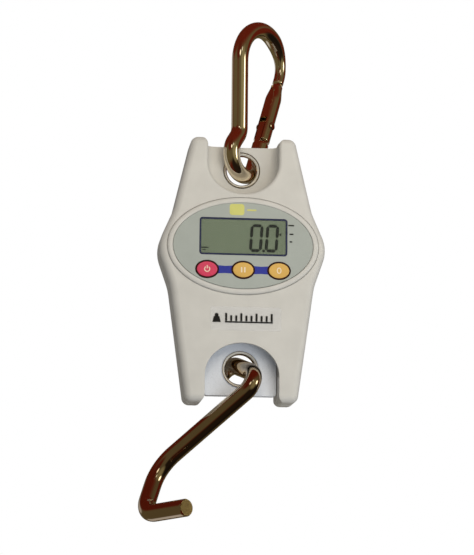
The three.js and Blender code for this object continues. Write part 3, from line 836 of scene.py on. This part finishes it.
def lower_plate():
    half = LOAD_PLATE_HALF
    corners = ((20, -94, 2), (20, -108.6, 2), (23, -112, 1), (23, -145.5, 2.2))
    bevel = 0.45
    profile = [(-half, -bevel), (-half + bevel * 0.3, -bevel * 0.3), (-half + bevel, 0),
               (half - bevel, 0), (half - bevel * 0.3, -bevel * 0.3), (half, -bevel)]
    plate = slab("load_plate", rounded(mirrored(corners)), profile, plate_steel)
    holes = [post("hole", x, -101, 2.6, -9, 9, plate_steel, 32) for x in (-12, 12)]
    inner, outer, floor_y, open_y = 11.4, 12.1, half - 0.8, half + 0.4
    section = [(inner, floor_y), (outer, floor_y), (outer, open_y), (inner, open_y)]
    grooves = [
        turned("groove", [(r, side * y) for r, y in section], 0, LOWER_EYE.z, plate_steel)
        for side in (-1, 1)
    ]
    eye = post("eye", 0, LOWER_EYE.z, EYELET_BARREL + 0.1, -9, 9, plate_steel, 96)
    cut(plate, eye, *grooves, *holes)
    stand_for(plate, "housing", "lower_plate", slot="bright_steel")


eyelet("top_eyelet", "upper_eyelet", 0, FLOOR_Y)
eyelet("bottom_eyelet", "lower_eyelet", LOWER_EYE.z, LOAD_PLATE_HALF)
lower_plate()


# ---------------------------------------------------------------- bent rods


def bent_path(start, heading, moves, step=0.9):
    """Stations (x, z, angle, distance) along a rod bent in the XZ plane."""
    x, z = start
    angle = math.radians(heading)
    distance = 0.0
    stations = [(x, z, angle, distance)]
    for kind, amount, radius in moves:
        if kind == "straight":
            count = max(1, round(amount / step))
            for _ in range(count):
                x += math.cos(angle) * amount / count
                z += math.sin(angle) * amount / count
                distance += amount / count
                stations.append((x, z, angle, distance))
            continue
        turn = math.radians(amount)
        count = max(2, round(abs(turn) * radius / step))
        for _ in range(count):
            half = turn / count / 2
            chord = 2 * radius * math.sin(abs(half))
            x += chord * math.cos(angle + half)
            z += chord * math.sin(angle + half)
            angle += 2 * half
            distance += abs(turn) * radius / count
            stations.append((x, z, angle, distance))
    return stations


def rod(name, stations, radius_at, material, turn, sides=40, chamfer=0.5):
    """A round rod through stations, with small chamfers at both cut ends."""
    total = stations[-1][3]

    def ring(x, z, angle, radius):
        out_x, out_z = -math.sin(angle) * radius, math.cos(angle) * radius
        around = [2 * math.pi * i / sides for i in range(sides)]
        return [(x + out_x * math.cos(t), radius * math.sin(t), z + out_z * math.cos(t)) for t in around]

    loops = []
    for x, z, angle, distance in stations:
        radius = radius_at(distance, total)
        inset = max(0.0, chamfer - distance, chamfer - (total - distance))
        if chamfer > inset > 0:
            continue
        loops.append(ring(x, z, angle, radius - inset))
    return loft(name, loops, material, turn)


def place(origin, rotation):
    """A matrix that turns a piece and moves its origin, in millimetres from the upper eyelet."""
    return Matrix.Translation(origin) @ rotation.to_4x4()


CARABINER = place((1.0, 0, 0), Matrix.Rotation(CARABINER_TURN, 3, "Z"))
HOOK = place(
    LOWER_EYE,
    Matrix.Rotation(HOOK_SWING, 3, "Y") @ Matrix.Rotation(HOOK_TWIST - math.pi / 2, 3, "Z"),
)

EYE_BEND = 12.6
EYE_BOTTOM = -2.5
NECK_BEND = 10.0
NECK_TURN = math.radians(41)
SPINE_X = -4.1
HAUNCH = 26.5
HAUNCH_TURN = math.radians(78)
CROWN = 20.8
CROWN_TOP = 98.6
SHOULDER = 18.2
RIVET_REACH = 31.8
tilt = math.radians(ARM_TILT)
eye_bend_z = EYE_BOTTOM + EYE_BEND
crown_z = CROWN_TOP - CROWN
crown_x = SPINE_X + HAUNCH - (HAUNCH - CROWN) * math.cos(HAUNCH_TURN)
spine_top = crown_z - (HAUNCH - CROWN) * math.sin(HAUNCH_TURN)
eye_flat = crown_x - math.tan(tilt) * (crown_z - eye_bend_z) + (CROWN - EYE_BEND) / math.cos(tilt)
neck_straight = (
    SPINE_X + EYE_BEND - (EYE_BEND + NECK_BEND) * (1 - math.cos(NECK_TURN))
) / math.sin(NECK_TURN)
spine_bottom = (
    eye_bend_z + (EYE_BEND + NECK_BEND) * math.sin(NECK_TURN) + neck_straight * math.cos(NECK_TURN)
)
ARM_FOOT = Vector((eye_flat + EYE_BEND * math.cos(tilt), eye_bend_z - EYE_BEND * math.sin(tilt)))
ARM_WAY = Vector((math.sin(tilt), math.cos(tilt)))
RIVET = ARM_FOOT + ARM_WAY * RIVET_REACH
ARM = CARABINER @ place((RIVET.x, 0, RIVET.y), Matrix.Rotation(tilt, 3, "Y"))


def arm_turned(name, profile, material, sides=40):
    """A solid of revolution about the arm's axis, from (radius, height above the rivet)."""
    loops = [[(x, y, height) for x, y in circle(radius, sides)] for radius, height in profile]
    return loft(name, loops, material, ARM)


def arm_block(name, low, high, material):
    """A block in the arm's frame between two corners; its Z runs along the arm from the rivet."""
    corners = ((low[0], low[1]), (high[0], low[1]), (high[0], high[1]), (low[0], high[1]))
    loops = [[(x, y, z) for x, y in corners] for z in (low[2], high[2])]
    return loft(name, loops, material, ARM)


def arm_post(name, radius, half, material, sides=40):
    """A round post along the carabiner's plane normal, through the rivet."""
    loops = [[(x, y, z) for x, z in circle(radius, sides)] for y in (-half, half)]
    return loft(name, loops, material, ARM)


def carabiner_rod():
    start = ARM_FOOT + ARM_WAY * SHOULDER
    moves = [
        ("straight", SHOULDER, 0),
        ("bend", ARM_TILT - 90, EYE_BEND),
        ("straight", eye_flat, 0),
        ("bend", -90 - math.degrees(NECK_TURN), EYE_BEND),
        ("straight", neck_straight, 0),
        ("bend", math.degrees(NECK_TURN), NECK_BEND),
        ("straight", spine_top - spine_bottom, 0),
        ("bend", -math.degrees(HAUNCH_TURN), HAUNCH),
        ("bend", math.degrees(HAUNCH_TURN) - 180 - ARM_TILT, CROWN),
        ("straight", 4.2, 0),
    ]
    nose_start, nose_length, nose_radius = 34.0, 22.0, 3.6

    def radius_at(distance, total):
        left = total - distance
        share = max(0.0, min(1.0, (nose_start - left) / nose_length))
        ease = share * share * (3 - 2 * share)
        return ROD_RADIUS + (nose_radius - ROD_RADIUS) * ease

    path = bent_path(start, 270 - ARM_TILT, moves)
    bar = rod("carabiner_rod", path, radius_at, chrome_warm_reflection, CARABINER)
    tang = arm_block("tang", (-4.5, -2.2, SHOULDER - RIVET_REACH - 3), (4.5, 2.2, 0), chrome_warm_reflection)
    tongue = arm_block("tongue", (-2.5, -1.5, 29), (2.5, 1.5, 36), chrome_warm_reflection)
    weld(bar, weld(tang, arm_post("tang_end", 4.5, 2.2, chrome_warm_reflection)), tongue)
    cut(bar, arm_post("rivet_hole", 2.0, 8, chrome_warm_reflection, 24))
    stand_for(bar, "carabiner", "carabiner_body", slot="polished_steel", angle=40)


def gate():
    bottom, top = -11.9, 33.0
    full, slim, taper = ROD_RADIUS, 3.8, 21.0
    profile = [(0.6, bottom), (full - 0.6, bottom), (full - 0.15, bottom + 0.15)]
    profile += [(full, bottom + 0.6)] + [(full, 5 + 4 * i) for i in range(5)]
    for i in range(1, 13):
        share = i / 12
        ease = share * share * (3 - 2 * share)
        profile.append((full + (slim - full) * ease, taper + (top - 0.5 - taper) * share))
    profile += [(slim - 0.35, top - 0.1), (slim - 0.8, top), (0.6, top)]
    sleeve = arm_turned("gate_sleeve", profile, chrome_warm_reflection)
    fork = arm_block("fork", (-8, -2.6, -20), (8, 2.6, 5.4), chrome_warm_reflection)
    bore = arm_turned("bore", [(2.6, 5), (2.6, 17)], chrome_warm_reflection, 24)
    slot = arm_block("slot", (-8, -1.9, 28.4), (8, 1.9, 40), chrome_warm_reflection)
    flat = arm_block("flat", (-8, -8, -14), (-4.5, 8, 40), chrome_warm_reflection)
    cut(sleeve, fork, bore, slot, flat, arm_post("rivet_hole", 2.0, 8, chrome_warm_reflection, 24))
    stand_for(sleeve, "gate", "carabiner_gate", slot="polished_steel", angle=40)


def gate_rivet():
    section = [(0.3, -6.0), (1.6, -5.95), (2.4, -5.75), (2.7, -5.4), (1.7, -5.36)]
    both = section + [(r, -y) for r, y in reversed(section)]
    loops = [[(x, y, z) for x, z in circle(radius, 32)] for radius, y in both]
    pin = loft("gate_pin", loops, chrome_dark, ARM)
    stand_for(pin, "carabiner", "gate_rivet", slot="bright_steel", angle=50)


def coil(name, radius, length, turns, wire, material, turn, count=90):
    """A wire coil about its own Z axis."""
    loops = []
    for i in range(count + 1):
        share = i / count
        angle = 2 * math.pi * turns * share
        centre = Vector((radius * math.cos(angle), radius * math.sin(angle), length * share))
        out = Vector((math.cos(angle), math.sin(angle), 0))
        ring = []
        for k in range(10):
            t = 2 * math.pi * k / 10
            ring.append(tuple(centre + out * wire * math.cos(t) + Vector((0, 0, wire * math.sin(t)))))
        loops.append(ring)
    return loft(name, loops, material, turn)


def hook_rod():
    moves = [
        ("straight", 6.5, 0),
        ("bend", -90, 9),
        ("straight", 16, 0),
        ("bend", -114.5, 10),
        ("straight", 60, 0),
        ("bend", 54, 26),
        ("straight", 11.5, 0),
        ("bend", 86, 11.5),
        ("straight", 28, 0),
    ]
    bar = rod(
        "bent_hook", bent_path((-14, -14), 90, moves), lambda distance, total: HOOK_RADIUS,
        chrome_dark, HOOK, 48, 0.45,
    )
    bar.data.materials.append(cut_brass)
    for face in bar.data.polygons:
        if len(face.vertices) > 4:
            face.material_index = 1
    stand_for(bar, "load_hook", "load_hook", slot="polished_steel", angle=40)


carabiner_rod()
gate()
gate_rivet()
spring = coil("gate_coil", 1.9, 10.6, 4, 0.35, satin_steel, ARM @ Matrix.Translation((0, 0, 5.6)))
stand_for(spring, "gate", "gate_spring", slot="plain_steel", angle=60)
hook_rod()


# ---------------------------------------------------------------- back of the housing


def battery_cover():
    """The clip-on door: rounded edges, a thumb notch and grip ribs below it."""
    profile = [(14.1, 0), (BACK_Y - 0.5, 0), (BACK_Y - 0.15, -0.15), (BACK_Y, -0.5)]
    cover = slab("battery_cover", rectangle(0, BAY_Z, 56, 38, 2), profile, body_plastic)
    notch = post("notch", 0, BAY_Z + 22.5, 7, 14.9, 20, body_plastic, 48)
    grooves = [
        slab("groove", rectangle(0, BAY_Z + 12.4 - 1.9 * i, 16 + 1.4 * i, 0.8, 0.35),
             [(BACK_Y - 0.45, -0.15), (BACK_Y + 1, 0)], body_plastic)
        for i in range(5)
    ]
    cut(cover, notch, *grooves)
    stand_for(cover, "battery_door", "battery_door", slot="body_plastic")


def case_screws():
    """Six cross-slotted screws, right one first in each pair, from the top pair down."""
    shank = [(0.2, -8.3), (0.9, -7.6), (1.3, -6.6), (1.3, 13.9)]
    crown = [(2.9, 13.9), (2.9, 14.7), (2.7, 15.1), (2.1, 15.4), (1.2, 15.55), (0.2, 15.6)]
    spots = [(side * x, z) for x, z in BOSS_SPOTS for side in (1, -1)]
    for number, (x, z) in enumerate(spots, 1):
        loops = [[(x + dx, y, z + dz) for dx, dz in circle(r, 28)] for r, y in shank + crown]
        screw = loft(f"screw_{number}", loops, satin_steel)
        slots = [
            slab("slot", rectangle(x, z, width, height, 0.2), [(14.9, 0), (17, 0)], satin_steel)
            for width, height in ((3.4, 0.75), (0.75, 3.4))
        ]
        cut(screw, *slots)
        stand_for(screw, "housing", f"case_screw_{number}", slot="plain_steel")


battery_cover()
case_screws()


# ---------------------------------------------------------------- materials of the kept CAD nodes

KEPT = {
    "seal_left": seal_rubber,
    "seal_right": seal_rubber,
    "upper_plate": satin_steel,
    "load_cell": machined_alloy,
    "gauge_cover": black_plastic,
    "cell_cable": cable_jacket,
    "circuit_board": board_green,
    "battery_holder": black_plastic,
}
KEPT.update({f"{name}_switch": black_plastic for name in ("power", "hold", "zero")})
for i in (1, 2, 3):
    KEPT[f"battery_{i}"] = battery_jacket
    KEPT[f"battery_spring_{i}"] = satin_steel
    KEPT[f"battery_contact_{i}"] = chrome_painted_highlight
for level in ("upper", "lower"):
    for side in ("left", "right"):
        KEPT[f"{level}_bolt_{side}"] = satin_steel
for node, material in KEPT.items():
    mesh = frame["nodes"][node].data
    mesh.materials.clear()
    mesh.materials.append(material)


# ---------------------------------------------------------------- light, floor and camera


# What polished metal reflects: a base colour, and patches over it, each with its direction, its inner
# and outer radius in degrees, and its colour.
ROOM_BASE = (0.105, 0.082, 0.040)
ROOM = (
    ((0.0, 0.1, 1.0), 36, 66, (0.105, 0.012, 0.005)),
    ((-0.6, 0.35, 0.70), 18, 40, (0.095, 0.012, 0.005)),
    ((-0.42, -0.66, 0.62), 14, 30, (0.085, 0.012, 0.005)),
    ((0.93, 0.33, 0.10), 14, 27, (0.100, 0.012, 0.005)),
    ((-0.15, -0.45, -0.90), 22, 46, (0.080, 0.012, 0.005)),
    ((0.75, -0.15, -0.6), 24, 48, (0.010, 0.007, 0.005)),
    ((0.30, -0.72, -0.62), 20, 40, (0.016, 0.010, 0.006)),
    ((0.55, -0.81, 0.18), 8, 32, (0.24, 0.21, 0.11)),
    ((0.89, -0.42, 0.19), 4, 11, (3.4, 3.2, 2.5)),
    ((-0.10, -0.86, 0.50), 3, 8, (1.6, 1.5, 1.2)),
    ((0.25, -0.78, 0.57), 2, 6, (0.9, 0.85, 0.70)),
    ((-0.64, 0.75, 0.15), 8, 18, (0.42, 0.40, 0.38)),
    ((-0.25, 0.66, -0.70), 8, 18, (0.50, 0.48, 0.47)),
)


def studio():
    """A soft even light, white behind the object, and the patches of ROOM in what metal reflects."""
    world = bpy.data.worlds.new("studio")
    bpy.context.scene.world = world
    world.use_nodes = True
    tree = world.node_tree
    nodes = tree.nodes
    nodes.clear()
    output = nodes.new("ShaderNodeOutputWorld")
    path = nodes.new("ShaderNodeLightPath")
    looking = nodes.new("ShaderNodeTexCoord").outputs["Generated"]
    soft = nodes.new("ShaderNodeBackground")
    soft.inputs["Color"].default_value = (0.97, 0.985, 1, 1)
    soft.inputs["Strength"].default_value = 0.385
    white = nodes.new("ShaderNodeBackground")
    white.inputs["Color"].default_value = (1, 1, 1, 1)
    room = nodes.new("ShaderNodeBackground")
    by_gloss = nodes.new("ShaderNodeMixShader")
    by_camera = nodes.new("ShaderNodeMixShader")

    def patch(colour_below, direction, inner, outer, colour):
        """Adds a soft-edged patch of colour round a direction."""
        dot = nodes.new("ShaderNodeVectorMath")
        dot.operation = "DOT_PRODUCT"
        tree.links.new(looking, dot.inputs[0])
        dot.inputs[1].default_value = Vector(direction).normalized()
        mask = nodes.new("ShaderNodeMapRange")
        mask.interpolation_type = "SMOOTHSTEP"
        mask.inputs["From Min"].default_value = math.cos(math.radians(outer))
        mask.inputs["From Max"].default_value = math.cos(math.radians(inner))
        tree.links.new(dot.outputs["Value"], mask.inputs["Value"])
        mix = nodes.new("ShaderNodeMix")
        mix.data_type = "RGBA"
        tree.links.new(mask.outputs["Result"], mix.inputs[0])
        if isinstance(colour_below, tuple):
            mix.inputs[6].default_value = (*colour_below, 1)
        else:
            tree.links.new(colour_below, mix.inputs[6])
        mix.inputs[7].default_value = (*colour, 1)
        return mix.outputs[2]

    colour = ROOM_BASE
    for direction, inner, outer, paint in ROOM:
        colour = patch(colour, direction, inner, outer, paint)
    tree.links.new(colour, room.inputs["Color"])
    tree.links.new(path.outputs["Is Glossy Ray"], by_gloss.inputs["Fac"])
    tree.links.new(soft.outputs[0], by_gloss.inputs[1])
    tree.links.new(room.outputs[0], by_gloss.inputs[2])
    tree.links.new(path.outputs["Is Camera Ray"], by_camera.inputs["Fac"])
    tree.links.new(by_gloss.outputs[0], by_camera.inputs[1])
    tree.links.new(white.outputs[0], by_camera.inputs[2])
    tree.links.new(by_camera.outputs[0], output.inputs["Surface"])


def light(name, position, target, size, power, colour):
    """A square area light that metal does not reflect: places in mm, size in m, power in watts."""
    data = bpy.data.lights.new(name, "AREA")
    data.size = size
    data.energy = power
    data.color = colour
    obj = bpy.data.objects.new(name, data)
    obj.location = EYE + Vector(position) * MM
    way = EYE + Vector(target) * MM - obj.location
    obj.rotation_euler = way.to_track_quat("-Z", "Y").to_euler()
    obj.visible_glossy = False
    bpy.context.collection.objects.link(obj)


def floor():
    side, depth = 4.0, -0.62
    mesh = bpy.data.meshes.new("floor")
    mesh.from_pydata(
        [(-side, -side, depth), (side, -side, depth), (side, side, depth), (-side, side, depth)],
        [], [(0, 1, 2, 3)],
    )
    mesh.materials.append(moulded("pale_floor", (0.80, 0.79, 0.77), 0.7, 3, 0.05, 0.02))
    obj = bpy.data.objects.new("floor", mesh)
    bpy.context.collection.objects.link(obj)
    obj.visible_glossy = False


def camera():
    """Seen from 6 degrees to the left and 11 degrees below, from 1.35 m, with 355 mm in view."""
    azimuth, elevation, roll = map(math.radians, (-6, -11, 0.5))
    distance, view_height = 1350.0, 355.2
    back = Vector((
        math.sin(azimuth) * math.cos(elevation),
        -math.cos(azimuth) * math.cos(elevation),
        math.sin(elevation),
    ))
    seat = Vector((0, 0, -40)) + back * distance
    aim = Vector((-2.2, 0, -69.3))
    way = (aim - seat).normalized()
    data = bpy.data.cameras.new("camera")
    data.sensor_width = 36
    data.lens = distance / view_height * data.sensor_width
    obj = bpy.data.objects.new("camera", data)
    level = way.to_track_quat("-Z", "Y").to_matrix()
    obj.matrix_world = Matrix.Translation(EYE + seat * MM) @ (
        level @ Matrix.Rotation(roll, 3, "Z")
    ).to_4x4()
    bpy.context.collection.objects.link(obj)
    bpy.context.scene.camera = obj


bpy.context.scene.view_settings.view_transform = "Standard"
studio()
light("key", (60, -560, 250), (0, 0, 0), 0.5, 2.3, (1, 0.90, 0.74))
light("fill", (330, -520, -330), (10, 0, -110), 0.5, 1.8, (0.92, 0.965, 1))
floor()
camera()
